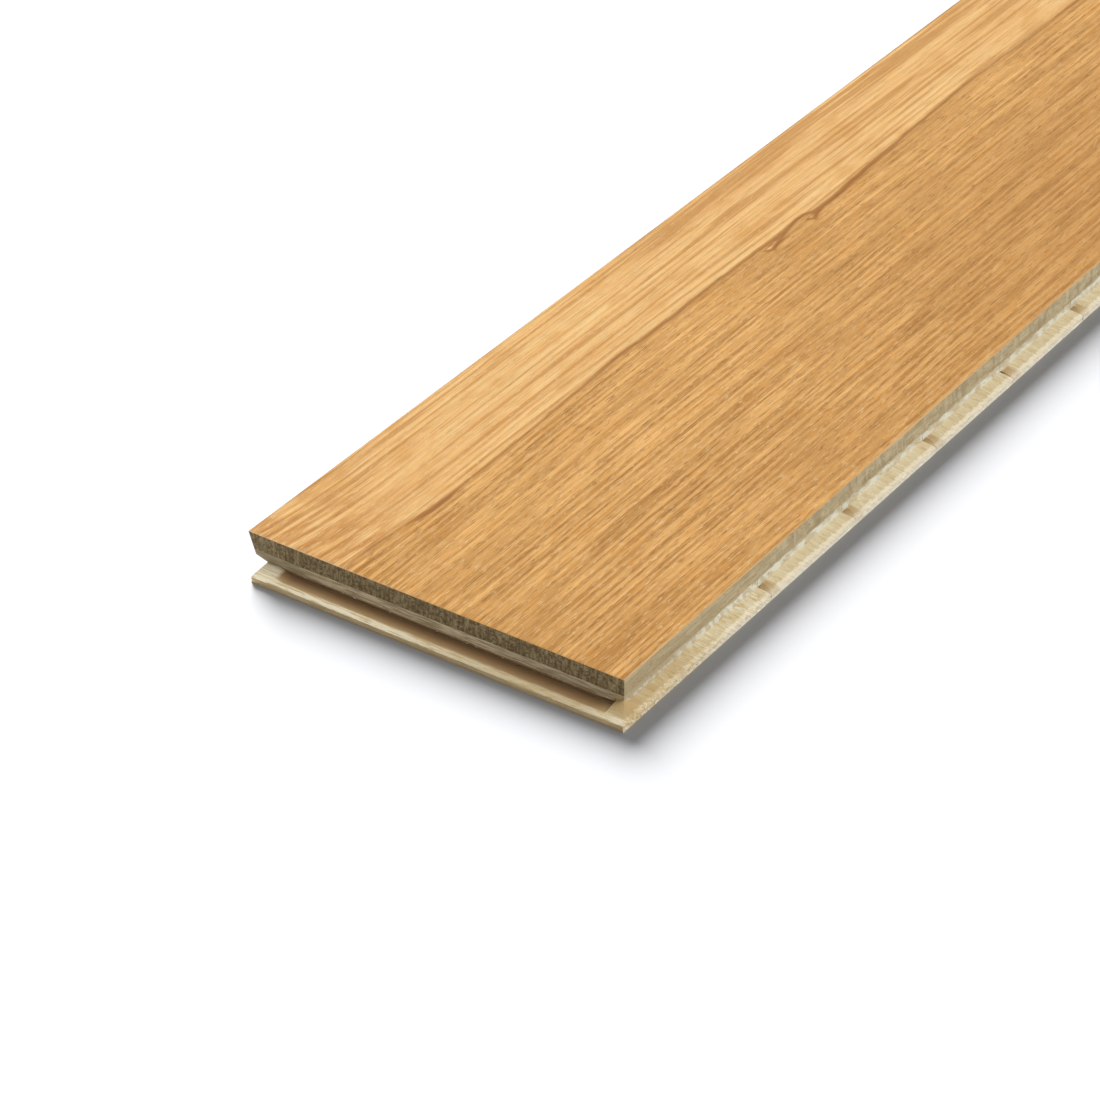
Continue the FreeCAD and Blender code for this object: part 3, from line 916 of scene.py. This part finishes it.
floor_mesh = bpy.data.meshes.new("studio_floor")
corners = [(-FLOOR_REACH, -FLOOR_REACH, 0), (FLOOR_REACH, -FLOOR_REACH, 0),
           (FLOOR_REACH, FLOOR_REACH, 0), (-FLOOR_REACH, FLOOR_REACH, 0)]
floor_mesh.from_pydata(corners, [], [(0, 1, 2, 3)])
floor_mesh.materials.append(make_floor_white())
floor = bpy.data.objects.new("studio_floor", floor_mesh)
bpy.context.scene.collection.objects.link(floor)

# Light
# A large soft lamp above and to the right lights the board, with an even fill all round.
# Another from behind on the left lights the floor, so that the shadow falls to the right and the front.
BOARD_LAMP_FROM = (0.55, 0.22, 0.80)
BOARD_LAMP_STRENGTH = 2.34
BOARD_LAMP_ANGLE = math.radians(40)
FLOOR_LAMP_FROM = (-0.647, 0.641, 0.413)
FLOOR_LAMP_STRENGTH = 14.4
FLOOR_LAMP_ANGLE = math.radians(27)
FILL_STRENGTH = 0.40
FILL_WHITE = (1, 1, 1, 1)


def hang_lamp(name, direction, strength, angle, lit):
    """A soft lamp far away in a direction, that lights only the given objects."""
    lamp = bpy.data.lights.new(name, "SUN")
    lamp.energy = strength
    lamp.angle = angle
    hung = bpy.data.objects.new(name, lamp)
    hung.rotation_euler = Vector(direction).to_track_quat("Z", "Y").to_euler()
    bpy.context.scene.collection.objects.link(hung)
    group = bpy.data.collections.new(name + "_lights")
    for thing in lit:
        group.objects.link(thing)
    hung.light_linking.receiver_collection = group


board = [thing for thing in bpy.context.scene.objects if thing.type == "MESH" and thing != floor]
hang_lamp("board_lamp", BOARD_LAMP_FROM, BOARD_LAMP_STRENGTH, BOARD_LAMP_ANGLE, board)
hang_lamp("floor_lamp", FLOOR_LAMP_FROM, FLOOR_LAMP_STRENGTH, FLOOR_LAMP_ANGLE, [floor])

world = bpy.data.worlds.new("studio")
world.use_nodes = True
bpy.context.scene.world = world
fill = world.node_tree.nodes["Background"]
fill.inputs["Color"].default_value = FILL_WHITE
fill.inputs["Strength"].default_value = FILL_STRENGTH
backdrop = put(world.node_tree, "ShaderNodeBackground", {"Color": FILL_WHITE, "Strength": 1.0})
sight = put(world.node_tree, "ShaderNodeLightPath").outputs["Is Camera Ray"]
either = put(world.node_tree, "ShaderNodeMixShader", {0: sight, 1: fill.outputs[0], 2: backdrop.outputs[0]})
world.node_tree.links.new(either.outputs[0], world.node_tree.nodes["World Output"].inputs["Surface"])

# Camera
# Set as in the photograph: a long lens looking down on the grooved end, the far end out of the picture.
PHOTO_SIDE = 1100
NEAR_CORNER_PIXEL = (624.4, 679.8)
CAMERA_AZIMUTH = math.radians(34.35)
CAMERA_ELEVATION = math.radians(34.12)
CAMERA_DISTANCE = 1.1519
CAMERA_SIGHT = 100
FOCAL_PIXELS = 3971.9
SENSOR_WIDTH = 36.0
back = Vector((math.sin(CAMERA_AZIMUTH) * math.cos(CAMERA_ELEVATION),
               -math.cos(CAMERA_AZIMUTH) * math.cos(CAMERA_ELEVATION), math.sin(CAMERA_ELEVATION)))
right = Vector((math.cos(CAMERA_AZIMUTH), math.sin(CAMERA_AZIMUTH), 0))
up = back.cross(right)
near_corner = Vector((oak_high.x, oak_low.y, oak_high.z)) * MM
pixel = CAMERA_DISTANCE / FOCAL_PIXELS
corner_right = (NEAR_CORNER_PIXEL[0] - PHOTO_SIDE / 2) * pixel
corner_up = (PHOTO_SIDE / 2 - NEAR_CORNER_PIXEL[1]) * pixel
lens = bpy.data.cameras.new("photo_camera")
lens.sensor_width = SENSOR_WIDTH
lens.lens = FOCAL_PIXELS / PHOTO_SIDE * SENSOR_WIDTH
lens.clip_end = CAMERA_SIGHT
camera = bpy.data.objects.new("photo_camera", lens)
camera.location = near_corner - corner_right * right - corner_up * up + CAMERA_DISTANCE * back
camera.rotation_euler = back.to_track_quat("Z", "Y").to_euler()
bpy.context.scene.collection.objects.link(camera)
bpy.context.scene.camera = camera
bpy.context.scene.view_settings.view_transform = "Standard"
